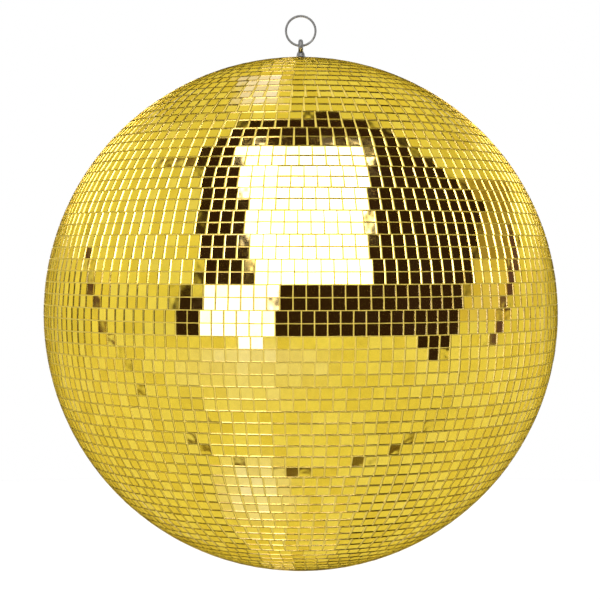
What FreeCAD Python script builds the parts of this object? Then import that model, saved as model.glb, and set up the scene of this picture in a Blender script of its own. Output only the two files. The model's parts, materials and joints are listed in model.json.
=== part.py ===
import FreeCAD, Part
import math
import os

# Mirror ball of 500 mm with its split hanging ring. Millimetres, +Z up.
# The origin is the hanging point: the top of the ring's inner wall, where a hook bears.
# Everything below it hangs on the Z axis. The ring stands in the XZ plane and the eye in the YZ plane.

# Ball
BALL_RADIUS = 250.0
STRIP_THICKNESS = 2.0
CORE_THICKNESS = 3.0
CORE_GAP = 0.5

# Mirror tiles: rows are one tile pitch high, and strips of two rows share their columns
TILE_PITCH = 11.0
TILE_GAP = 1.0
STRIP_COLUMN_PITCH = 11.1
POLAR_COLUMN_PITCH = 10.2
ROWS_PER_STRIP = 2
STRIPS_EACH_SIDE = 11
POLAR_ROWS = 12
PHASE_STEP = 0.618

# Split ring: two flat turns of one wire, joined by a step from the front turn to the back one
RING_RADIUS = 14.4
WIRE_WIDTH = 2.1
WIRE_DEPTH = 1.25
TURN_SPACING = 1.35
STEP_START_DEG = 300.0
STEP_LENGTH_DEG = 32.0
STEP_SECTIONS = 7

# Eye bolt
EYE_INNER_RADIUS = 2.5
EYE_HOLE_RADIUS = 2.6
EYE_WIRE_RADIUS = 2.4
EYE_BELOW_RING_WIRE = 0.95
SHANK_RADIUS = 2.5
SHANK_CLEARANCE = 0.1
EYE_TOP_ABOVE_BALL = 18.2
SHOULDER_RADIUS = 4.0
SHOULDER_TOP_RADIUS = 2.45
SHOULDER_HEIGHT = 3.1

# Collar and pole caps
COLLAR_RADIUS = 5.7
COLLAR_NECK_RADIUS = 4.0
COLLAR_HEIGHT = 3.5
COLLAR_LIP = 0.7
COLLAR_FLARE_SHARE = 0.42
CAP_RADIUS = 6.2
CAP_GAP = 0.05
PLUG_STEM_RADIUS = 5.0
PLUG_STEM_LENGTH = 9.0

# Inside the core
BAND_HALF_HEIGHT = 20.0
BAND_THICKNESS = 3.0
PLATE_RADIUS = 40.0
PLATE_THICKNESS = 2.0
PLATE_SEAT_RADIUS = 9.0
PLATE_SEAT_DEPTH = 1.2
SEAT_GAP = 0.1
RIVET_COUNT = 4
RIVET_CIRCLE_RADIUS = 30.0
RIVET_RADIUS = 2.0
RIVET_HEAD_RADIUS = 3.8
RIVET_HEAD_HEIGHT = 1.5
RIVET_CLEARANCE = 0.05
WASHER_BORE_RADIUS = 2.65
FLAT_WASHER_RADIUS = 7.5
FLAT_WASHER_HEIGHT = 1.2
SPRING_WASHER_RADIUS = 4.6
SPRING_WASHER_HEIGHT = 1.3
WASHER_SPLIT = 0.8
NUT_ACROSS_FLATS = 8.0
NUT_HEIGHT = 3.6
NUT_COLLAR_RADIUS = 3.6
NUT_COLLAR_HEIGHT = 1.4
NUT_BORE_RADIUS = 2.55
THREAD_END_LENGTH = 2.0
THREAD_CHAMFER = 0.6

# Worked out from the above, from the hanging point down
RING_CENTRE_Z = -(RING_RADIUS - WIRE_WIDTH / 2)
EYE_CENTRE_Z = RING_CENTRE_Z - RING_RADIUS - EYE_BELOW_RING_WIRE
EYE_RADIUS = EYE_INNER_RADIUS + EYE_WIRE_RADIUS
BALL_TOP_Z = EYE_CENTRE_Z + EYE_RADIUS + EYE_WIRE_RADIUS - EYE_TOP_ABOVE_BALL
BALL_CENTRE_Z = BALL_TOP_Z - BALL_RADIUS
BALL_CENTRE = FreeCAD.Vector(0, 0, BALL_CENTRE_Z)
CORE_RADIUS = BALL_RADIUS - STRIP_THICKNESS - CORE_GAP
CORE_INNER_RADIUS = CORE_RADIUS - CORE_THICKNESS
PLATE_TOP_RADIUS = CORE_INNER_RADIUS - SEAT_GAP
SEAT_Z = BALL_CENTRE_Z + PLATE_TOP_RADIUS - PLATE_THICKNESS - PLATE_SEAT_DEPTH
NUT_TOP_Z = SEAT_Z - FLAT_WASHER_HEIGHT - SPRING_WASHER_HEIGHT
ROW_ANGLE = math.degrees(TILE_PITCH / BALL_RADIUS)
GAP_ANGLE = math.degrees(TILE_GAP / BALL_RADIUS)

UP = FreeCAD.Vector(0, 0, 1)
ORIGIN = FreeCAD.Vector(0, 0, 0)


def cylinder(radius, bottom_z, top_z):
    """A cylinder on the Z axis between two heights."""
    return Part.makeCylinder(radius, top_z - bottom_z, FreeCAD.Vector(0, 0, bottom_z), UP)


def washer(inner, outer, height, top_z):
    """A flat ring on the Z axis whose upper face is at top_z."""
    blank = cylinder(outer, top_z - height, top_z)
    return blank.cut(cylinder(inner, top_z - height - 1, top_z + 1))


def turned(edges):
    """A solid of revolution about the Z axis from a closed outline in the XZ plane."""
    return Part.Face(Part.Wire(edges)).revolve(ORIGIN, UP, 360)


def outline(points):
    """Straight edges through points (radius, z), without closing the last to the first."""
    corners = [FreeCAD.Vector(r, 0, z) for r, z in points]
    return [Part.LineSegment(a, b).toShape() for a, b in zip(corners, corners[1:])]


# --- Hanger ---------------------------------------------------------------------------------------


def wire_section(angle_deg, y):
    """The split ring's flat wire, cut across at an angle round the ring from +X towards +Z."""
    corners = []
    for side, depth in ((-1, -1), (1, -1), (1, 1), (-1, 1), (-1, -1)):
        radius = RING_RADIUS + side * WIRE_WIDTH / 2
        corners.append(FreeCAD.Vector(radius, y + depth * WIRE_DEPTH / 2, 0))
    wire = Part.makePolygon(corners)
    wire.rotate(ORIGIN, FreeCAD.Vector(0, -1, 0), angle_deg)
    wire.translate(FreeCAD.Vector(0, 0, RING_CENTRE_Z))
    return wire


def flat_turn(start_deg, y):
    """One flat turn of the wire, open where the step is."""
    centre = FreeCAD.Vector(0, 0, RING_CENTRE_Z)
    section = Part.Face(wire_section(start_deg, y))
    return section.revolve(centre, FreeCAD.Vector(0, -1, 0), 360 - STEP_LENGTH_DEG)


def split_ring():
    """Two turns of one flat wire. Where the wire steps from one turn to the other, it is alone."""
    front, back = -TURN_SPACING / 2, TURN_SPACING / 2
    after_step = STEP_START_DEG + STEP_LENGTH_DEG
    sections = []
    for i in range(STEP_SECTIONS):
        share = i / (STEP_SECTIONS - 1)
        y = front + (back - front) * (1 - math.cos(math.pi * share)) / 2
        sections.append(wire_section(STEP_START_DEG + share * STEP_LENGTH_DEG, y))
    step = Part.makeLoft(sections, True, False)
    return flat_turn(after_step, front).fuse([step, flat_turn(after_step, back)])


def eye_bolt():
    """A drilled round eye with a cone-shaped shoulder, on a shank that runs down through the core."""
    across = FreeCAD.Vector(1, 0, 0)
    eye = Part.makeTorus(EYE_RADIUS, EYE_WIRE_RADIUS, FreeCAD.Vector(0, 0, EYE_CENTRE_Z), across)
    drill_start = FreeCAD.Vector(-EYE_WIRE_RADIUS, 0, EYE_CENTRE_Z)
    drill = Part.makeCylinder(EYE_HOLE_RADIUS, 2 * EYE_WIRE_RADIUS, drill_start, across)
    bottom_z = NUT_TOP_Z - NUT_HEIGHT - NUT_COLLAR_HEIGHT - THREAD_END_LENGTH
    shank = cylinder(SHANK_RADIUS, bottom_z + THREAD_CHAMFER, EYE_CENTRE_Z - EYE_RADIUS)
    eye_bottom = FreeCAD.Vector(0, 0, EYE_CENTRE_Z - EYE_RADIUS - EYE_WIRE_RADIUS)
    shoulder = Part.makeCone(SHOULDER_RADIUS, SHOULDER_TOP_RADIUS, SHOULDER_HEIGHT, eye_bottom, UP)
    tip = Part.makeCone(
        SHANK_RADIUS - THREAD_CHAMFER, SHANK_RADIUS, THREAD_CHAMFER, FreeCAD.Vector(0, 0, bottom_z), UP
    )
    return eye.fuse([shoulder, shank, tip]).cut(drill).removeSplitter()


def hanger_collar():
    """A bell-shaped collar round the shank, standing on the upper pole cap."""
    bore = SHANK_RADIUS + SHANK_CLEARANCE
    base, lip, top = BALL_TOP_Z, BALL_TOP_Z + COLLAR_LIP, BALL_TOP_Z + COLLAR_HEIGHT
    flare_from = FreeCAD.Vector(COLLAR_RADIUS, 0, lip)
    flare_to = FreeCAD.Vector(COLLAR_NECK_RADIUS, 0, top)
    reach = COLLAR_RADIUS - COLLAR_NECK_RADIUS
    flare_middle = FreeCAD.Vector(
        COLLAR_NECK_RADIUS + reach * COLLAR_FLARE_SHARE, 0, lip + (top - lip) * COLLAR_FLARE_SHARE
    )
    flare = Part.Arc(flare_from, flare_middle, flare_to).toShape()
    rest = outline([(COLLAR_NECK_RADIUS, top), (bore, top), (bore, base), (COLLAR_RADIUS, base),
                    (COLLAR_RADIUS, lip)])
    return turned([flare] + rest)


def top_pole_cap():
    """A disc that closes the hole in the tiles round the eye bolt."""
    bottom_z = BALL_CENTRE_Z + CORE_RADIUS + CAP_GAP
    return washer(SHANK_RADIUS + SHANK_CLEARANCE, CAP_RADIUS, BALL_TOP_Z - bottom_z, BALL_TOP_Z)


def bottom_pole_cap():
    """A plug whose head closes the lower hole in the tiles and whose stem fills the core's hole."""
    lowest_z = BALL_CENTRE_Z - BALL_RADIUS
    core_z = BALL_CENTRE_Z - CORE_RADIUS - CAP_GAP
    head = cylinder(CAP_RADIUS, lowest_z, core_z)
    stem = cylinder(PLUG_STEM_RADIUS, core_z, core_z + PLUG_STEM_LENGTH)
    return head.fuse(stem).removeSplitter()


# --- Core -----------------------------------------------------------------------------------------


def half_core(lowest_deg, highest_deg):
    """One hollow half of the core."""
    outer = Part.makeSphere(CORE_RADIUS, BALL_CENTRE, UP, lowest_deg, highest_deg, 360)
    return outer.cut(Part.makeSphere(CORE_INNER_RADIUS, BALL_CENTRE))


def rivet(clearance):
    """A rivet on the Z axis through the top of the core and the load plate, heads at both ends."""
    head_radius, radius = RIVET_HEAD_RADIUS + clearance, RIVET_RADIUS + clearance
    outer_z = BALL_CENTRE_Z + CORE_RADIUS - CAP_GAP
    neck_z = outer_z - RIVET_HEAD_HEIGHT
    seat_z = BALL_CENTRE_Z + PLATE_TOP_RADIUS - PLATE_THICKNESS - CAP_GAP
    end_z = seat_z - RIVET_HEAD_HEIGHT
    return turned(outline([(0, outer_z), (head_radius, outer_z), (radius, neck_z), (radius, seat_z),
                           (head_radius, seat_z), (RIVET_RADIUS, end_z), (0, end_z), (0, outer_z)]))


def rivets(clearance=0.0):
    """The rivets, evenly spaced round the eye bolt, each square to the core."""
    lean = math.degrees(math.asin(RIVET_CIRCLE_RADIUS / PLATE_TOP_RADIUS))
    made = []
    for i in range(RIVET_COUNT):
        one = rivet(clearance)
        one.rotate(BALL_CENTRE, FreeCAD.Vector(0, 1, 0), lean)
        one.rotate(BALL_CENTRE, UP, (i + 0.5) * 360 / RIVET_COUNT)
        made.append(one)
    return made


def upper_core_shell():
    """The upper half, bored for the eye bolt and the rivets."""
    bore = cylinder(SHANK_RADIUS + SHANK_CLEARANCE, BALL_CENTRE_Z, BALL_TOP_Z)
    return half_core(0, 90).cut([bore] + rivets(RIVET_CLEARANCE))


def lower_core_shell():
    """The lower half, bored for the lower pole cap's stem."""
    bore = cylinder(PLUG_STEM_RADIUS + SHANK_CLEARANCE, BALL_CENTRE_Z - BALL_RADIUS, BALL_CENTRE_Z)
    return half_core(-90, 0).cut(bore)


def joining_band():
    """A hoop glued inside the core across the joint between its halves."""
    outer_radius = CORE_INNER_RADIUS - SEAT_GAP
    blank = Part.makeSphere(outer_radius, BALL_CENTRE)
    blank = blank.common(
        cylinder(BALL_RADIUS, BALL_CENTRE_Z - BAND_HALF_HEIGHT, BALL_CENTRE_Z + BAND_HALF_HEIGHT)
    )
    return blank.cut(Part.makeSphere(outer_radius - BAND_THICKNESS, BALL_CENTRE))


def load_plate():
    """A dished steel plate under the top of the core, with a flat seat for the washers."""
    outer = Part.makeSphere(PLATE_TOP_RADIUS, BALL_CENTRE)
    dish = outer.cut(Part.makeSphere(PLATE_TOP_RADIUS - PLATE_THICKNESS, BALL_CENTRE))
    dish = dish.common(cylinder(PLATE_RADIUS, BALL_CENTRE_Z, BALL_TOP_Z))
    seat = cylinder(PLATE_SEAT_RADIUS, SEAT_Z, BALL_TOP_Z).common(outer)
    bore = cylinder(SHANK_RADIUS + SHANK_CLEARANCE, SEAT_Z - 1, BALL_TOP_Z)
    return dish.fuse(seat).cut([bore] + rivets(RIVET_CLEARANCE)).removeSplitter()


def flat_washer():
    """A wide washer against the load plate's seat."""
    return washer(WASHER_BORE_RADIUS, FLAT_WASHER_RADIUS, FLAT_WASHER_HEIGHT, SEAT_Z)


def spring_washer():
    """A washer split on one side."""
    top_z = SEAT_Z - FLAT_WASHER_HEIGHT
    corner = FreeCAD.Vector(WASHER_BORE_RADIUS / 2, -WASHER_SPLIT / 2, top_z - SPRING_WASHER_HEIGHT - 1)
    split = Part.makeBox(SPRING_WASHER_RADIUS, WASHER_SPLIT, SPRING_WASHER_HEIGHT + 2, corner)
    ring = washer(WASHER_BORE_RADIUS, SPRING_WASHER_RADIUS, SPRING_WASHER_HEIGHT, top_z)
    return ring.cut(split)


def lock_nut():
    """A hexagon nut with a round locking collar on its lower side."""
    body_bottom_z = NUT_TOP_Z - NUT_HEIGHT
    collar_bottom_z = body_bottom_z - NUT_COLLAR_HEIGHT
    hex_radius = NUT_ACROSS_FLATS / math.sqrt(3)
    corners = [sideways(hex_radius, 60 * i, body_bottom_z) for i in range(7)]
    body = Part.Face(Part.makePolygon(corners)).extrude(FreeCAD.Vector(0, 0, NUT_HEIGHT))
    collar = cylinder(NUT_COLLAR_RADIUS, collar_bottom_z, body_bottom_z)
    bore = cylinder(NUT_BORE_RADIUS, collar_bottom_z - 1, NUT_TOP_Z + 1)
    return body.fuse(collar).cut(bore)


def sideways(radius, angle_deg, z):
    """A point at a radius and angle round the Z axis."""
    angle = math.radians(angle_deg)
    return FreeCAD.Vector(radius * math.cos(angle), radius * math.sin(angle), z)


# --- Mirror tiles ---------------------------------------------------------------------------------


def on_ball(radius, latitude, longitude):
    """A point on a sphere about the ball's centre."""
    lat = math.radians(latitude)
    return sideways(radius * math.cos(lat), longitude, BALL_CENTRE_Z + radius * math.sin(lat))


def tile_ring(low, high, rows, column_pitch, phase):
    """Rows of flat tiles on one backing strip, as one faceted ring between two latitudes.

    The tiles are a column pitch apart at the edge nearer a pole, where the ring is narrowest.
    """
    low, high = low + GAP_ANGLE / 2, high - GAP_ANGLE / 2
    narrowest = BALL_RADIUS * math.cos(math.radians(max(abs(low), abs(high))))
    columns = int(2 * math.pi * narrowest / column_pitch)
    latitudes = [low + (high - low) * row / rows for row in range(rows + 1)]
    longitudes = [360 / columns * (column + phase) for column in range(columns)]

    def layer(radius):
        return [[on_ball(radius, lat, lon) for lon in longitudes] for lat in latitudes]

    outer, inner = layer(BALL_RADIUS), layer(BALL_RADIUS - STRIP_THICKNESS)
    faces = []
    for left in range(columns):
        right = (left + 1) % columns
        for row in range(rows):
            for skin in (outer, inner):
                faces.append((skin[row][left], skin[row][right], skin[row + 1][right], skin[row + 1][left]))
        for edge in (0, rows):
            faces.append((outer[edge][left], outer[edge][right], inner[edge][right], inner[edge][left]))
    shell = Part.Shell([Part.Face(Part.makePolygon([*corners, corners[0]])) for corners in faces])
    shell.sewShape()
    ring = Part.Solid(shell)
    if ring.Volume < 0:
        ring.reverse()
    return ring


def tile_nodes():
    """Every strip and polar row from the lower pole to the upper one, as node name to solid."""
    strip_angle = ROWS_PER_STRIP * ROW_ANGLE
    nodes = {}
    strips = 2 * STRIPS_EACH_SIDE + 1
    for i in range(strips):
        low = (i - strips / 2) * strip_angle
        nodes[f"mirror_strip_{i + 1:02d}"] = tile_ring(
            low, low + strip_angle, ROWS_PER_STRIP, STRIP_COLUMN_PITCH, i * PHASE_STEP % 1
        )
    last_strip_edge = strips / 2 * strip_angle
    for i in range(POLAR_ROWS):
        low = last_strip_edge + i * ROW_ANGLE
        high = low + ROW_ANGLE
        phase = (i + strips) * PHASE_STEP % 1
        nodes[f"upper_polar_row_{i + 1:02d}"] = tile_ring(low, high, 1, POLAR_COLUMN_PITCH, phase)
        nodes[f"lower_polar_row_{i + 1:02d}"] = tile_ring(-high, -low, 1, POLAR_COLUMN_PITCH, phase)
    return nodes


def build():
    """Make every node and write its STEP file."""
    nodes = {
        "split_ring": split_ring(),
        "eye_bolt": eye_bolt(),
        "hanger_collar": hanger_collar(),
        "top_pole_cap": top_pole_cap(),
        "upper_core_shell": upper_core_shell(),
        "lower_core_shell": lower_core_shell(),
        "joining_band": joining_band(),
        "load_plate": load_plate(),
        "load_plate_rivets": Part.makeCompound(rivets()),
        "flat_washer": flat_washer(),
        "spring_washer": spring_washer(),
        "lock_nut": lock_nut(),
        "bottom_pole_cap": bottom_pole_cap(),
    }
    nodes.update(tile_nodes())
    os.makedirs("parts", exist_ok=True)
    for name, shape in nodes.items():
        shape.exportStep(f"parts/{name}.step")
        print(f"{name}: {len(shape.Solids)} solid, {shape.Volume:.1f} mm3, valid {shape.isValid()}")


build()
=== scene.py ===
import json
import math
import random

import bmesh
import bpy
from mathutils import Matrix, Vector


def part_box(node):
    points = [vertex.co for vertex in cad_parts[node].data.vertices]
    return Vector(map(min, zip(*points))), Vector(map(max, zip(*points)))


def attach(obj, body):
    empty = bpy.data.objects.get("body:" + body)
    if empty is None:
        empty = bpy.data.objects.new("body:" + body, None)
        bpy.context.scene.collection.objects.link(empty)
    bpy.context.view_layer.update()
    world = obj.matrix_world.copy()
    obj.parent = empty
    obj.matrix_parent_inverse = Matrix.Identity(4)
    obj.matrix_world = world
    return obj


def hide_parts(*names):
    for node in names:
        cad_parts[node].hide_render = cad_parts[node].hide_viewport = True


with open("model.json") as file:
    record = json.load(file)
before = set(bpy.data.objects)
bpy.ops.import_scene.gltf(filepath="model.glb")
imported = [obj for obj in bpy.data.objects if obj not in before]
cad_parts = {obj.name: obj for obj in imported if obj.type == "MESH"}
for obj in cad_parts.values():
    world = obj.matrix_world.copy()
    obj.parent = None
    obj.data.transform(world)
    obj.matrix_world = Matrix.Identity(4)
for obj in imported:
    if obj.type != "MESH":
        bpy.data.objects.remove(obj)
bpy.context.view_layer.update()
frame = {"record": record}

# The lengths named below are in metres, and the angles in degrees.

# --- The ball, from the frame --------------------------------------------------------------------

ball_low, ball_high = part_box("bottom_pole_cap")[0].z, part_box("top_pole_cap")[1].z
BALL_RADIUS = (ball_high - ball_low) / 2
BALL_CENTRE = Vector((0, 0, (ball_high + ball_low) / 2))

# --- Mirror tiles --------------------------------------------------------------------------------

# The CAD's rows and columns, and the tiles that its gaps leave room for.
TILE_SIZE = 0.01
TILE_PITCH = 0.011
STRIP_COLUMN_PITCH = 0.0111
POLAR_COLUMN_PITCH = 0.0102
ROWS_PER_STRIP = 2
STRIPS = 23
POLAR_ROWS = 12
PHASE_STEP = 0.618
ROW_ANGLE = math.degrees(TILE_PITCH / BALL_RADIUS)
GAP_ANGLE = math.degrees((TILE_PITCH - TILE_SIZE) / BALL_RADIUS)

# One tile, and the glue and tape that hold it. Depths are measured inwards from the tile's front.
TILE_FACE = 0.0101
TILE_FRONT_RADIUS = BALL_RADIUS - 0.0004
TILE_THICKNESS = 0.0012
GLUE_DEPTH = 0.0006
BACKING_DEPTH = 0.00145
BACKING_THICKNESS = 0.00045
BACKING_SEGMENTS = 180
GLUE_CLEARANCE = 0.00003
CELL_CLEARANCE = 0.00001
GLASS_IOR = 1.5

# How far tiles are set or cut wrong: the random seed, spreads of angles, and a spread of sizes.
SEED = 7
TILT_OF_A_TILE = 0.35
TILT_OF_A_STRIP = 0.25
TILT_OF_A_LOOSE_TILE = 1.6
SHARE_OF_LOOSE_TILES = 0.015
TURN_OF_A_TILE = 0.5
SIZE_SPREAD = 0.008

# The faces of a strip's mesh, by their finish's place in TILE_FINISHES.
BACK, FRONT, LEFT_OR_RIGHT, TOP_OR_BOTTOM, GLUE = range(5)

# --- Hanger and caps -----------------------------------------------------------------------------

WIRE_WIDTH = 0.0021
WIRE_DEPTH = 0.00125
WIRE_CORNER_RADIUS = 0.00032
WIRE_SECTIONS = 345
WIRE_END_SHARE = 0.8
TURN_SPACING = 0.00135
STEP_START = 300
STEP_LENGTH = 32

EYE_WIDTH = 0.0048
EYE_HOLE_RADIUS = 0.0026
SHANK_RADIUS = 0.0025
SHANK_TIP_RADIUS = 0.0020
SHANK_TIP_LENGTH = 0.0005
SHANK_HOLE_RADIUS = 0.0026

COLLAR_LIP_HEIGHT = 0.0007
COLLAR_LIP_ROUNDING = 0.0002
COLLAR_STEP = 0.0003
COLLAR_TOP_RADIUS = 0.0038
COLLAR_BOW = 0.00028

DISC_ROUNDING = 0.0005
PLUG_ROUNDING = 0.0008
PLUG_HEAD_HEIGHT = 0.00245
PLUG_STEM_RADIUS = 0.0050
PLUG_STEM_CHAMFER = 0.0004

SHARP_ANGLE = 35

# --- Camera and floor ----------------------------------------------------------------------------

CAMERA_DISTANCE_RADII = 7.0
CAMERA_ELEVATION = 1.9
CAMERA_LENS_MM = 107.05
CAMERA_SHIFT = (-0.0012, 0.0232)
CAMERA_LEAN = math.radians(CAMERA_ELEVATION)
TOWARDS_CAMERA = Vector((0, -math.cos(CAMERA_LEAN), math.sin(CAMERA_LEAN)))
UP_IN_VIEW = Vector((0, math.sin(CAMERA_LEAN), math.cos(CAMERA_LEAN)))

FLOOR_BELOW_CENTRE = 1.6
FLOOR_REACH = 11.4

# The floor's seam runs along X, this far in front of the ball's axis.
FLOOR_SEAM = 0.75
SEAM_HALF_WIDTH = 0.018
SEAM_EDGE = 0.006

# Azimuths, from and to, where the floor reaches only a share of the way. The first that fits counts.
SHORTER_FLOOR = ((56, 64, 0.49), (50, 68, 0.6), (-30, -16, 0.6))


def new_material(name):
    """A material with an empty node tree, its output and one principled shader."""
    material = bpy.data.materials.new(name)
    material.use_nodes = True
    tree = material.node_tree
    tree.nodes.clear()
    output = tree.nodes.new("ShaderNodeOutputMaterial")
    shader = tree.nodes.new("ShaderNodeBsdfPrincipled")
    tree.links.new(shader.outputs["BSDF"], output.inputs["Surface"])
    return material, tree, shader


def put_on(tree, old, new):
    """Puts a shader's output on a material in place of its principled shader."""
    output = old.outputs["BSDF"].links[0].to_node
    tree.links.new(new, output.inputs["Surface"])
    tree.nodes.remove(old)


def node(tree, kind, inputs=None, **settings):
    """A node with some properties set, and its inputs set or linked."""
    made = tree.nodes.new(kind)
    for name, value in settings.items():
        setattr(made, name, value)
    for name, value in (inputs or {}).items():
        if isinstance(value, bpy.types.NodeSocket):
            tree.links.new(value, made.inputs[name])
        else:
            made.inputs[name].default_value = value
    return made


def calculate(tree, operation, a, b=0.0):
    """The result of a sum on one or two numbers or sockets."""
    return node(tree, "ShaderNodeMath", {0: a, 1: b}, operation=operation).outputs["Value"]


def mix_colours(tree, factor, a, b):
    """Colour a where the factor is 0, and b where it is 1."""
    return node(tree, "ShaderNodeMix", {0: factor, 6: a, 7: b}, data_type="RGBA").outputs[2]


def mix_shaders(tree, factor, a, b):
    """Shader a where the factor is 0, and b where it is 1."""
    return node(tree, "ShaderNodeMixShader", {0: factor, 1: a, 2: b}).outputs[0]


def noise(tree, scale, detail, roughness=0.55):
    """Noise over the object's own coordinates, as one number from 0 to 1."""
    place = node(tree, "ShaderNodeTexCoord")
    return node(tree, "ShaderNodeTexNoise",
                {"Vector": place.outputs["Object"], "Scale": scale, "Detail": detail,
                 "Roughness": roughness}).outputs["Fac"]


def ramp(tree, factor, stops):
    """A colour or value that follows a factor through (position, colour) stops."""
    made = node(tree, "ShaderNodeValToRGB", {"Fac": factor})
    elements = made.color_ramp.elements
    while len(elements) < len(stops):
        elements.new(0.5)
    for element, (position, colour) in zip(elements, stops):
        element.position = position
        element.color = (*colour, 1)
    return made.outputs["Color"]


def spread(tree, factor, low, high):
    """A factor from 0 to 1 carried to a range."""
    made = node(tree, "ShaderNodeMapRange", {"Value": factor, "To Min": low, "To Max": high})
    return made.outputs["Result"]


def bump(tree, height, strength, distance):
    """A normal from a height."""
    return node(tree, "ShaderNodeBump",
                {"Height": height, "Strength": strength, "Distance": distance}).outputs["Normal"]


def gold_mirror():
    """The gold mirror at the back of each tile: tones that differ a little, with faint waves."""
    material, tree, shader = new_material("gold_mirror")
    island = node(tree, "ShaderNodeNewGeometry").outputs["Random Per Island"]
    tone = ramp(tree, island, [(0.0, (0.79, 0.575, 0.044)), (0.5, (0.86, 0.650, 0.058)),
                               (1.0, (0.90, 0.700, 0.085))])
    tree.links.new(tone, shader.inputs["Base Color"])
    shader.inputs["Metallic"].default_value = 1
    smudge = noise(tree, 55, 4)
    tree.links.new(spread(tree, smudge, 0.015, 0.06), shader.inputs["Roughness"])
    waves = noise(tree, 90, 1)
    tree.links.new(bump(tree, waves, 0.09, 0.0004), shader.inputs["Normal"])
    return material


def front_glass():
    """The clear front of a tile, coated against glare: only light from inside is turned back."""
    material, tree, shader = new_material("front_glass")
    dust = ramp(tree, noise(tree, 160, 4), [(0.35, (0.97, 0.965, 0.955)), (0.65, (1, 1, 1))])
    settings = {"Color": dust, "Roughness": 0.0, "IOR": GLASS_IOR}
    inwards = node(tree, "ShaderNodeBsdfRefraction", settings).outputs[0]
    outwards = node(tree, "ShaderNodeBsdfGlass", settings).outputs[0]
    inside = node(tree, "ShaderNodeNewGeometry").outputs["Backfacing"]
    put_on(tree, shader, mix_shaders(tree, inside, inwards, outwards))
    return material


def cut_glass(name, dark, light):
    """Two of a tile's cut sides: slightly rough glass that turns back the light inside the tile."""
    material, tree, shader = new_material(name)
    grain = noise(tree, 900, 2)
    glass = node(tree, "ShaderNodeBsdfGlass",
                 {"Color": ramp(tree, grain, [(0.3, dark), (0.7, light)]),
                  "Roughness": spread(tree, grain, 0.11, 0.28), "IOR": GLASS_IOR})
    put_on(tree, shader, glass.outputs[0])
    return material


def backing_with_painted_light():
    """The glue and tape behind the tiles and in the gaps between them, in a bright gold that is partly
    painted light.
    """
    material, tree, shader = new_material("backing_with_painted_light")
    weave = noise(tree, 1400, 2)
    # The glue and tape are real, but their bright gold is painted light that lifts the shade deep in
    # the narrow gaps.
    tree.links.new(ramp(tree, weave, [(0.3, (0.80, 0.61, 0.10)), (0.7, (0.90, 0.71, 0.17))]),
                   shader.inputs["Base Color"])
    shader.inputs["Roughness"].default_value = 0.8
    shader.inputs["Specular IOR Level"].default_value = 0.0
    tree.links.new(bump(tree, weave, 0.5, 0.0002), shader.inputs["Normal"])
    return material


def moulded_plastic(name, dark, light, roughness):
    """Moulded plastic with a fine grain."""
    material, tree, shader = new_material(name)
    patches = noise(tree, 40, 4)
    tree.links.new(ramp(tree, patches, [(0.3, dark), (0.7, light)]), shader.inputs["Base Color"])
    tree.links.new(spread(tree, patches, roughness, roughness + 0.12), shader.inputs["Roughness"])
    tree.links.new(bump(tree, noise(tree, 1200, 2), 0.15, 0.0002), shader.inputs["Normal"])
    return material


def steel(name, dark, light, roughness):
    """Plated steel: a satin metal with a fine grain and uneven plating."""
    material, tree, shader = new_material(name)
    patches = noise(tree, 180, 4)
    tree.links.new(ramp(tree, patches, [(0.3, dark), (0.7, light)]), shader.inputs["Base Color"])
    shader.inputs["Metallic"].default_value = 1
    grain = noise(tree, 400, 5, 0.7)
    tree.links.new(spread(tree, grain, roughness, roughness + 0.2), shader.inputs["Roughness"])
    tree.links.new(bump(tree, grain, 0.1, 0.00003), shader.inputs["Normal"])
    shader.inputs["Specular IOR Level"].default_value = 0.15
    return material


TILE_GOLD, TILE_FRONT, BACKING_WITH_PAINTED_LIGHT = gold_mirror(), front_glass(), backing_with_painted_light()
SNAPPED_SIDE = cut_glass("snapped_side", (0.93, 0.91, 0.86), (1.0, 0.99, 0.96))
# Painted shade: the top and bottom cut sides get darker glass than the left and right ones, for the
# dimmer light on sides that face up and down.
SHADED_CUT_SIDE = cut_glass("painted_shade_cut_side", (0.52, 0.49, 0.40), (0.74, 0.71, 0.60))
TILE_FINISHES = (TILE_GOLD, TILE_FRONT, SNAPPED_SIDE, SHADED_CUT_SIDE, BACKING_WITH_PAINTED_LIGHT)
CORE_PLASTIC = moulded_plastic("core_plastic", (0.66, 0.58, 0.36), (0.74, 0.67, 0.45), 0.45)
CAP_PLASTIC = moulded_plastic("cap_plastic", (0.62, 0.46, 0.05), (0.72, 0.55, 0.08), 0.25)
RING_STEEL = steel("ring_steel", (0.19, 0.19, 0.192), (0.27, 0.27, 0.272), 0.28)
HANGER_STEEL = steel("hanger_steel", (0.17, 0.17, 0.172), (0.25, 0.25, 0.252), 0.32)
INNER_STEEL = steel("inner_steel", (0.45, 0.46, 0.48), (0.60, 0.61, 0.62), 0.3)


def add_piece(name, mesh, materials, body, replaced):
    """Adds a mesh as a piece that rides a body and stands for a CAD node."""
    piece = bpy.data.objects.new(name, mesh)
    bpy.context.scene.collection.objects.link(piece)
    for material in materials:
        mesh.materials.append(material)
    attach(piece, body)
    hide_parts(replaced)


# --- Tiles ---------------------------------------------------------------------------------------


def on_ball(radius, latitude, longitude):
    """A point on a sphere about the ball's centre."""
    lat, lon = math.radians(latitude), math.radians(longitude)
    return BALL_CENTRE + radius * Vector(
        (math.cos(lat) * math.cos(lon), math.cos(lat) * math.sin(lon), math.sin(lat))
    )


def tile_axes(latitude, longitude, lean, tilt, turn):
    """East, north and outward for one tile, after its small errors in lean, tilt and turn."""
    outward = (on_ball(1, latitude, longitude) - BALL_CENTRE).normalized()
    east = Vector((0, 0, 1)).cross(outward).normalized()
    north = outward.cross(east)
    wrong = Matrix.Identity(3)
    for angle, axis in ((lean, north), (tilt, east), (turn, outward)):
        wrong = wrong @ Matrix.Rotation(math.radians(angle), 3, axis)
    return wrong @ east, wrong @ north, wrong @ outward


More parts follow.
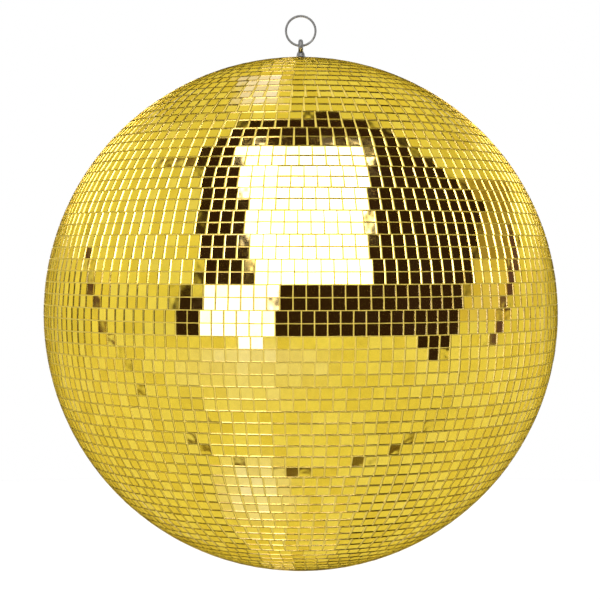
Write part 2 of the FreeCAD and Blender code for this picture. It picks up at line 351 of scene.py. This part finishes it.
def add_tile(points, faces, kinds, centre, axes, size):
    """One square tile: a clear front, four cut sides and a mirror at the back."""
    east, north, outward = axes
    first, half = len(points), size / 2
    for depth in (0, TILE_THICKNESS):
        for x, y in ((-half, -half), (half, -half), (half, half), (-half, half)):
            points.append(centre + x * east + y * north - depth * outward)
    faces.append([first, first + 1, first + 2, first + 3])
    kinds.append(FRONT)
    for corner in range(4):
        a, b = first + corner, first + (corner + 1) % 4
        faces.append([a, a + 4, b + 4, b])
        kinds.append(LEFT_OR_RIGHT if corner % 2 else TOP_OR_BOTTOM)
    faces.append([first + 7, first + 6, first + 5, first + 4])
    kinds.append(BACK)


def add_glue(points, faces, kinds, centre, axes, size, cell):
    """The glue that fills the gaps round one tile: a closed frame from near the front to the tape.

    cell is half the width and half the height of the tile's share of its strip.
    """
    east, north, outward = axes
    first, inner = len(points), size / 2 + GLUE_CLEARANCE
    for across, up, depth in (
        (inner, inner, BACKING_DEPTH), (inner, inner, GLUE_DEPTH),
        (cell[0], cell[1], GLUE_DEPTH), (cell[0], cell[1], BACKING_DEPTH),
    ):
        for x, y in ((-across, -up), (across, -up), (across, up), (-across, up)):
            points.append(centre + x * east + y * north - depth * outward)
    for level in range(4):
        here, there = first + 4 * level, first + (level + 1) % 4 * 4
        for i in range(4):
            j = (i + 1) % 4
            faces.append([here + i, here + j, there + j, there + i])
            kinds.append(GLUE)


def backing(low, high):
    """The tape under a strip: a thin closed band that reaches half way into the gaps beside it."""
    outer = TILE_FRONT_RADIUS - BACKING_DEPTH
    corners = ((outer, low), (outer, (low + high) / 2), (outer, high),
               (outer - BACKING_THICKNESS, high), (outer - BACKING_THICKNESS, low))
    points = []
    for i in range(BACKING_SEGMENTS):
        for radius, latitude in corners:
            points.append(on_ball(radius, latitude, 360 * i / BACKING_SEGMENTS))
    return points, grid_faces(BACKING_SEGMENTS, len(corners), True)


def tile_ring(name, low, high, rows, column_pitch, phase, draw):
    """All the tiles of one CAD strip, with its backing, in place of that node."""
    inner_low, inner_high = low + GAP_ANGLE / 2, high - GAP_ANGLE / 2
    narrowest = BALL_RADIUS * math.cos(math.radians(max(abs(inner_low), abs(inner_high))))
    columns = int(2 * math.pi * narrowest / column_pitch)
    row_height = (high - low) / rows
    points, faces = backing(low, high)
    kinds = [GLUE] * len(faces)
    strip_tilt = draw.gauss(0, TILT_OF_A_STRIP)
    for row in range(rows):
        latitude = low + (row + 0.5) * row_height
        half_width = math.pi * BALL_RADIUS * math.cos(math.radians(latitude)) / columns
        cell = (half_width - CELL_CLEARANCE, TILE_PITCH / 2 - CELL_CLEARANCE)
        for column in range(columns):
            longitude = 360 / columns * (column + phase + 0.5)
            error = TILT_OF_A_LOOSE_TILE if draw.random() < SHARE_OF_LOOSE_TILES else TILT_OF_A_TILE
            axes = tile_axes(latitude, longitude, draw.gauss(0, error),
                             strip_tilt + draw.gauss(0, error), draw.gauss(0, TURN_OF_A_TILE))
            size = TILE_FACE * (1 - abs(draw.gauss(0, SIZE_SPREAD)))
            centre = on_ball(TILE_FRONT_RADIUS, latitude, longitude)
            add_tile(points, faces, kinds, centre, axes, size)
            add_glue(points, faces, kinds, centre, axes, size, cell)
    mesh = bpy.data.meshes.new(name + "_tiles")
    mesh.from_pydata(points, [], faces)
    mesh.polygons.foreach_set("material_index", kinds)
    mesh.update()
    add_piece(name + "_tiles", mesh, TILE_FINISHES, "ball", name)


def all_tiles():
    """Every strip and polar row, with the rows, columns and phases of the CAD nodes."""
    draw = random.Random(SEED)
    strip_angle = ROWS_PER_STRIP * ROW_ANGLE
    for i in range(STRIPS):
        low = (i - STRIPS / 2) * strip_angle
        tile_ring(f"mirror_strip_{i + 1:02d}", low, low + strip_angle, ROWS_PER_STRIP,
                  STRIP_COLUMN_PITCH, i * PHASE_STEP % 1, draw)
    for i in range(POLAR_ROWS):
        low = STRIPS / 2 * strip_angle + i * ROW_ANGLE
        high = low + ROW_ANGLE
        phase = (i + STRIPS) * PHASE_STEP % 1
        tile_ring(f"upper_polar_row_{i + 1:02d}", low, high, 1, POLAR_COLUMN_PITCH, phase, draw)
        tile_ring(f"lower_polar_row_{i + 1:02d}", -high, -low, 1, POLAR_COLUMN_PITCH, phase, draw)


# --- Hanger and caps -----------------------------------------------------------------------------


def finish_mesh(name, points, faces):
    """A mesh with outward faces that is smooth but for its sharp edges."""
    mesh = bpy.data.meshes.new(name)
    mesh.from_pydata(points, [], faces)
    work = bmesh.new()
    work.from_mesh(mesh)
    bmesh.ops.remove_doubles(work, verts=work.verts, dist=1e-7)
    bmesh.ops.recalc_face_normals(work, faces=work.faces)
    work.to_mesh(mesh)
    work.free()
    mesh.shade_smooth()
    mesh.set_sharp_from_angle(angle=math.radians(SHARP_ANGLE))
    return mesh


def grid_faces(rows, columns, closed):
    """Quads over a grid of points. Each row closes on itself, and the rows do if closed is set."""
    faces = []
    for i in range(rows if closed else rows - 1):
        here, there = i * columns, (i + 1) % rows * columns
        for j in range(columns):
            k = (j + 1) % columns
            faces.append([here + j, there + j, there + k, here + k])
    return faces


def lathe(profile, closed, segments=96):
    """Points and faces of an outline of (radius, z) turned about the Z axis."""
    points = []
    for radius, z in profile:
        for i in range(segments):
            angle = 2 * math.pi * i / segments
            points.append(Vector((radius * math.cos(angle), radius * math.sin(angle), z)))
    return points, grid_faces(len(profile), segments, closed)


def arc(centre, radius, start, end, steps=6):
    """Points of (radius, z) on part of a circle."""
    points = []
    for i in range(steps + 1):
        angle = math.radians(start + (end - start) * i / steps)
        points.append((centre[0] + radius * math.cos(angle), centre[1] + radius * math.sin(angle)))
    return points


def wire_outline():
    """The split ring's flat wire seen along its length: a rectangle with rounded corners."""
    across, along = WIRE_WIDTH / 2 - WIRE_CORNER_RADIUS, WIRE_DEPTH / 2 - WIRE_CORNER_RADIUS
    corners = ((across, along, 0), (-across, along, 90), (-across, -along, 180), (across, -along, 270))
    outline = []
    for x, y, start in corners:
        outline += arc((x, y), WIRE_CORNER_RADIUS, start, start + 90, 4)
    return outline


def add_split_ring():
    """One flat wire in two turns, with a step where it passes from the front turn to the back one."""
    low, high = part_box("split_ring")
    centre = (low + high) / 2
    radius = (high.x - low.x) / 2 - WIRE_WIDTH / 2
    start = STEP_START + STEP_LENGTH
    last = WIRE_SECTIONS - 1
    outline = wire_outline()
    points = []
    for i in range(WIRE_SECTIONS):
        angle = start + (2 * 360 - STEP_LENGTH) * i / last
        share = min(1, max(0, (angle - STEP_START - 360) / STEP_LENGTH))
        y = TURN_SPACING * (-0.5 + (1 - math.cos(math.pi * share)) / 2)
        size = WIRE_END_SHARE if i in (0, last) else 1
        outwards = Vector((math.cos(math.radians(angle)), 0, math.sin(math.radians(angle))))
        for across, along in outline:
            sideways = Vector((0, y + along * size, 0))
            points.append(centre + (radius + across * size) * outwards + sideways)
    faces = grid_faces(WIRE_SECTIONS, len(outline), False)
    faces.append(list(range(len(outline))))
    faces.append([len(points) - 1 - i for i in range(len(outline))])
    mesh = finish_mesh("split_ring", points, faces)
    add_piece("split_ring_wire", mesh, (RING_STEEL,), "hanging_ring", "split_ring")


def add_eye_bolt():
    """The drilled eye, its shoulder and its shank."""
    low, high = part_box("eye_bolt")
    wire, outer = EYE_WIDTH / 2, (high.y - low.y) / 2
    centre_z = high.z - outer
    points, rings, around = [], 72, 40
    for i in range(rings):
        turn = 2 * math.pi * i / rings
        for j in range(around):
            angle = 2 * math.pi * j / around
            away = max(outer - wire + wire * math.cos(angle), EYE_HOLE_RADIUS)
            z = centre_z + away * math.cos(turn)
            points.append(Vector((wire * math.sin(angle), away * math.sin(turn), z)))
    faces = grid_faces(rings, around, True)
    foot = centre_z - outer
    shoulder = ((0, 0.0042), (0.0019, 0.0042), (0.0021, 0.0037), (0.00245, 0.0031),
                (0.0031, 0.0019), (0.0039, 0.0003), (0.0040, 0), (SHANK_RADIUS, 0))
    profile = [(radius, foot + height) for radius, height in shoulder]
    profile += [(SHANK_RADIUS, low.z + SHANK_TIP_LENGTH), (SHANK_TIP_RADIUS, low.z), (0, low.z)]
    more_points, more_faces = lathe(profile, False, 64)
    faces += [[len(points) + i for i in face] for face in more_faces]
    mesh = finish_mesh("eye_bolt", points + more_points, faces)
    add_piece("eye_bolt_eye", mesh, (HANGER_STEEL,), "ball", "eye_bolt")


def add_collar():
    """The bell-shaped collar under the eye."""
    low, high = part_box("hanger_collar")
    radius, base, top = high.x, low.z, high.z
    edge, lip = radius - COLLAR_LIP_ROUNDING, base + COLLAR_LIP_HEIGHT
    outline = [(SHANK_HOLE_RADIUS, top), (SHANK_HOLE_RADIUS, base), (edge, base)]
    outline += arc((edge, lip - COLLAR_LIP_ROUNDING), COLLAR_LIP_ROUNDING, 0, 90, 3)
    bell_foot = radius - COLLAR_STEP
    steps = 8
    for i in range(steps + 1):
        share = i / steps
        bow = COLLAR_BOW * math.sin(math.pi * share)
        across = bell_foot + (COLLAR_TOP_RADIUS - bell_foot) * share - bow
        outline.append((across, lip + (top - lip) * share - bow))
    points, faces = lathe(outline, True)
    mesh = finish_mesh("hanger_collar", points, faces)
    add_piece("hanger_collar_bell", mesh, (HANGER_STEEL,), "ball", "hanger_collar")


def add_top_cap():
    """The disc round the eye bolt, with a rounded rim."""
    low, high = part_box("top_pole_cap")
    outline = [(SHANK_HOLE_RADIUS, high.z), (SHANK_HOLE_RADIUS, low.z), (high.x, low.z)]
    outline += arc((high.x - DISC_ROUNDING, high.z - DISC_ROUNDING), DISC_ROUNDING, 0, 90)
    points, faces = lathe(outline, True)
    mesh = finish_mesh("top_pole_cap", points, faces)
    add_piece("top_pole_cap_disc", mesh, (CAP_PLASTIC,), "ball", "top_pole_cap")


def add_bottom_cap():
    """The plug in the lowest hole: a flat head with a moulded groove and a rounded edge, on a stem."""
    low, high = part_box("bottom_pole_cap")
    rim, head_top = high.x, low.z + PLUG_HEAD_HEIGHT
    groove = ((0.0022, 0), (0.0025, 0.0003), (0.0030, 0.0003), (0.0033, 0))
    outline = [(0, low.z)] + [(radius, low.z + height) for radius, height in groove]
    outline += arc((rim - PLUG_ROUNDING, low.z + PLUG_ROUNDING), PLUG_ROUNDING, -90, 0)
    outline += [(rim, head_top), (PLUG_STEM_RADIUS, head_top)]
    outline += [(PLUG_STEM_RADIUS, high.z - PLUG_STEM_CHAMFER)]
    outline += [(PLUG_STEM_RADIUS - PLUG_STEM_CHAMFER, high.z), (0, high.z)]
    points, faces = lathe(outline, False)
    mesh = finish_mesh("bottom_pole_cap", points, faces)
    add_piece("bottom_pole_cap_plug", mesh, (CAP_PLASTIC,), "ball", "bottom_pole_cap")


# --- Camera, floor and light ---------------------------------------------------------------------


def add_camera():
    """A long lens almost level with the ball's middle."""
    data = bpy.data.cameras.new("camera")
    data.lens = CAMERA_LENS_MM
    data.shift_x, data.shift_y = CAMERA_SHIFT
    data.clip_end = 100
    camera = bpy.data.objects.new("camera", data)
    camera.location = BALL_CENTRE + CAMERA_DISTANCE_RADII * BALL_RADIUS * TOWARDS_CAMERA
    camera.rotation_mode = "QUATERNION"
    camera.rotation_quaternion = (-TOWARDS_CAMERA).to_track_quat("-Z", "Y")
    bpy.context.scene.collection.objects.link(camera)
    bpy.context.scene.camera = camera


def floor_reach(azimuth):
    """How far the floor goes, where azimuth 0 is towards the camera and 90 is towards +X."""
    for start, end, share in SHORTER_FLOOR:
        if start < azimuth < end:
            return FLOOR_REACH * share
    return FLOOR_REACH


def floor_shine(tree, place, centre, size, strength):
    """A soft patch of light lying on the floor."""
    scale = (1 / size[0], 1 / size[1], 0)
    offset = (-centre[0] / size[0], -centre[1] / size[1], 0)
    moved = node(tree, "ShaderNodeMapping", {"Vector": place, "Location": offset, "Scale": scale})
    middle = node(tree, "ShaderNodeTexGradient", {"Vector": moved.outputs["Vector"]},
                  gradient_type="SPHERICAL").outputs["Fac"]
    return spread(tree, middle, 0.0, strength)


def floor_paper():
    """Matt pale paper with a dark seam and some cool light on it, both seen only in mirrors."""
    material, tree, shader = new_material("floor_paper")
    path = node(tree, "ShaderNodeLightPath").outputs
    seen = path["Is Camera Ray"]
    place = node(tree, "ShaderNodeTexCoord").outputs["Object"]
    along = node(tree, "ShaderNodeSeparateXYZ", {"Vector": place}).outputs["Y"]
    distance = calculate(tree, "ABSOLUTE", calculate(tree, "ADD", along, FLOOR_SEAM))
    off_seam = ramp(tree, distance, [(SEAM_HALF_WIDTH, (0, 0, 0)),
                                     (SEAM_HALF_WIDTH + SEAM_EDGE, (1, 1, 1))])

    paper = ramp(tree, noise(tree, 0.8, 2), [(0.3, (0.78, 0.775, 0.765)), (0.7, (0.82, 0.815, 0.805))])
    paper = mix_colours(tree, seen, paper, (0.92, 0.92, 0.91, 1))
    plain = calculate(tree, "MAXIMUM", off_seam, seen)
    paper = mix_colours(tree, plain, (0.10, 0.06, 0.03, 1), paper)
    tree.links.new(paper, shader.inputs["Base Color"])
    shader.inputs["Roughness"].default_value = 0.9

    near = floor_shine(tree, place, (-0.42, -0.36), (0.50, 0.75), 3.8)
    far = floor_shine(tree, place, (-2.0, -5.2), (3.8, 3.6), 3)
    later = calculate(tree, "GREATER_THAN", path["Diffuse Depth"], 0.5)
    mirrored = node(tree, "ShaderNodeMath", {0: path["Is Singular Ray"], 1: later},
                    operation="SUBTRACT", use_clamp=True).outputs["Value"]
    mirrored = calculate(tree, "MULTIPLY", mirrored, off_seam)
    shine = calculate(tree, "MULTIPLY", calculate(tree, "ADD", near, far), mirrored)
    tree.links.new(shine, shader.inputs["Emission Strength"])
    shader.inputs["Emission Color"].default_value = (0.03, 0.06, 1.0, 1)

    below = node(tree, "ShaderNodeNewGeometry").outputs["Backfacing"]
    clear = node(tree, "ShaderNodeBsdfTransparent").outputs[0]
    solid = shader.outputs["BSDF"]
    output = solid.links[0].to_node
    seen_from_below = calculate(tree, "MULTIPLY", below, seen)
    tree.links.new(mix_shaders(tree, seen_from_below, solid, clear), output.inputs["Surface"])
    return material


def add_floor():
    """A plain pale floor well below the ball, which a camera under it looks through."""
    mesh = bpy.data.meshes.new("floor")
    height = BALL_CENTRE.z - FLOOR_BELOW_CENTRE
    points = [(0, 0, height)]
    for azimuth in range(-180, 180):
        angle, reach = math.radians(azimuth), floor_reach(azimuth)
        points.append((reach * math.sin(angle), -reach * math.cos(angle), height))
    mesh.from_pydata(points, [], [(0, i, i % 360 + 1) for i in range(1, 361)])
    mesh.materials.append(floor_paper())
    floor = bpy.data.objects.new("floor", mesh)
    bpy.context.scene.collection.objects.link(floor)


class Light:
    """Builds the studio's light as the world's shader, from the direction that a ray leaves in.

    A direction is placed by the tile that would show it to the camera, which faces half way between
    the direction and the camera. x is that tile's place across the ball, and z its place up the
    ball, as shares of the ball's radius seen from the front.
    """

    def __init__(self):
        world = bpy.data.worlds.new("studio")
        bpy.context.scene.world = world
        world.use_nodes = True
        self.tree = world.node_tree
        self.tree.nodes.clear()
        self.direction = node(self.tree, "ShaderNodeTexCoord").outputs["Generated"]
        half = self.vector("NORMALIZE", self.vector("ADD", self.direction, TOWARDS_CAMERA))
        self.x = self.dot(half, Vector((1, 0, 0)))
        self.z = self.dot(half, UP_IN_VIEW)

    def vector(self, operation, a, b=(0, 0, 0)):
        """A vector worked out from one or two vectors."""
        made = node(self.tree, "ShaderNodeVectorMath", {0: a, 1: b}, operation=operation)
        return made.outputs["Vector"]

    def dot(self, a, b):
        """How far two directions agree."""
        made = node(self.tree, "ShaderNodeVectorMath", {0: a, 1: b}, operation="DOT_PRODUCT")
        return made.outputs["Value"]

    def math(self, operation, a, b=0.0):
        """A number worked out from one or two numbers."""
        return calculate(self.tree, operation, a, b)

    def mix(self, factor, a, b):
        """Colour a where the factor is 0, and b where it is 1."""
        return mix_colours(self.tree, factor, a, b)

    def over(self, value, edge, soft):
        """1 where a value is over an edge and 0 where it is under, with a soft change."""
        made = node(self.tree, "ShaderNodeMapRange",
                    {"Value": value, "From Min": edge - soft, "From Max": edge + soft},
                    interpolation_type="SMOOTHSTEP")
        return made.outputs["Result"]

    def under(self, value, edge, soft):
        """1 where a value is under an edge and 0 where it is over, with a soft change."""
        return self.math("SUBTRACT", 1.0, self.over(value, edge, soft))

    def all_of(self, *masks):
        """1 where every mask is 1."""
        joined = masks[0]
        for mask in masks[1:]:
            joined = self.math("MULTIPLY", joined, mask)
        return joined

    def any_of(self, *masks):
        """1 where at least one mask is 1."""
        joined = masks[0]
        for mask in masks[1:]:
            joined = self.math("MAXIMUM", joined, mask)
        return joined

    def slant(self, slope):
        """z plus a slope times x."""
        return self.math("ADD", self.z, self.math("MULTIPLY", self.x, slope))

    def box(self, x_low, x_high, z_low, z_high, soft=0.004):
        """1 inside a box of x and z."""
        return self.all_of(self.over(self.x, x_low, soft), self.under(self.x, x_high, soft),
                           self.over(self.z, z_low, soft), self.under(self.z, z_high, soft))

    def hoop(self, x, z, radius, half_width):
        """1 on a thin ring of x and z."""
        place = node(self.tree, "ShaderNodeCombineXYZ", {"X": self.x, "Y": self.z}).outputs["Vector"]
        away = self.vector("SUBTRACT", place, (x, z, 0))
        distance = node(self.tree, "ShaderNodeVectorMath", {0: away}, operation="LENGTH")
        off = self.math("ABSOLUTE", self.math("SUBTRACT", distance.outputs["Value"], radius))
        return self.under(off, half_width, 0.003)

    def finish(self, in_mirrors, on_surfaces, behind):
        """Shows smooth mirrors and glass one studio, other surfaces a second, the camera a third."""
        path = node(self.tree, "ShaderNodeLightPath").outputs
        mirrors, surfaces, plain = (
            node(self.tree, "ShaderNodeBackground", {"Color": colour}).outputs[0]
            for colour in (in_mirrors, on_surfaces, behind)
        )
        direct = self.under(path["Diffuse Depth"], 0.5, 0.1)
        mirrored = self.all_of(path["Is Singular Ray"], direct)
        unseen = mix_shaders(self.tree, mirrored, surfaces, mirrors)
        studio = mix_shaders(self.tree, path["Is Camera Ray"], unseen, plain)
        node(self.tree, "ShaderNodeOutputWorld", {"Surface": studio})


def add_light():
    """A white room with a dark surround behind the camera, which holds a softbox and a bright patch.

    The tiles show this room. Other surfaces are lit by an even copy of it, and the camera sees white.
    """
    light = Light()

    surround = light.any_of(
        light.all_of(
            light.box(-0.375, 0.80, -0.20, 0.735),
            light.under(light.slant(-0.757), 0.89, 0.008),
            light.under(light.slant(0.70), 0.9125, 0.008),
            light.over(light.slant(-4.0), -2.38, 0.02),
        ),
        light.box(-0.47, -0.355, -0.20, 0.075),
        light.box(0.02, 0.16, 0.70, 0.755),
    )
    softbox = light.all_of(light.box(-0.30, 0.252, 0.109, 0.632),
                           light.over(light.slant(11.1), -1.90, 0.05))
    bright = light.any_of(softbox, light.box(-0.367, -0.102, -0.20, 0.109))
    glow = light.box(-0.24, -0.07, 0.80, 0.90, 0.01)
    wide_hoop = light.all_of(light.hoop(0.0, 0.257, 0.80, 0.018), light.box(0.60, 0.85, 0.0, 0.5))
    hoop = light.any_of(light.hoop(0.0, 0.257, 0.80, 0.009), wide_hoop)
    rails = light.any_of(light.all_of(hoop, light.under(light.z, 0.32, 0.01)),
                         light.box(-0.52, -0.36, 0.568, 0.580))
    door = light.box(0.60, 0.78, -0.02, 0.20, 0.006)
    curtain = light.box(0.60, 0.80, 0.20, 0.50, 0.02)

    patches = node(light.tree, "ShaderNodeTexNoise",
                   {"Vector": light.direction, "Scale": 2.2, "Detail": 3.0})
    patchy = light.over(patches.outputs["Fac"], 0.5, 0.16)
    room = light.mix(patchy, (0.87, 0.86, 0.81, 1), (1.03, 1.02, 0.99, 1))
    room = light.mix(door, room, (0.84, 0.76, 0.72, 1))
    room = light.mix(curtain, room, (0.42, 0.34, 0.30, 1))
    room = light.mix(glow, room, (1.15, 1.25, 7.5, 1))
    room = light.mix(rails, room, (0.12, 0.065, 0.22, 1))
    room = light.mix(surround, room, (0.035, 0.019, 0.040, 1))
    white = light.mix(softbox, (5.0, 4.9, 21.0, 1), (10.0, 9.8, 34.0, 1))
    mirrored = light.mix(bright, room, white)

    even_room = light.mix(surround, (1.25, 1.24, 1.22, 1), (0.30, 0.29, 0.28, 1))
    even_room = light.mix(bright, even_room, (2.4, 2.35, 2.25, 1))
    light.finish(mirrored, even_room, (1.0, 1.0, 1.0, 1))
    bpy.context.scene.view_settings.view_transform = "Standard"


def dress_cad():
    """Gives the CAD nodes their finishes, by the record's material slots."""
    finishes = {
        "core_plastic": CORE_PLASTIC, "cap_plastic": CAP_PLASTIC, "ring_steel": RING_STEEL,
        "hanger_steel": HANGER_STEEL, "inner_steel": INNER_STEEL,
    }
    for part in frame["record"]["subparts"]:
        cad = bpy.data.objects.get(part["node"])
        finish = finishes.get(part["material_slot"])
        if cad is None or finish is None:
            continue
        for place in cad.material_slots:
            place.material = finish


add_camera()
add_floor()
add_light()
dress_cad()
all_tiles()
add_split_ring()
add_eye_bolt()
add_collar()
add_top_cap()
add_bottom_cap()
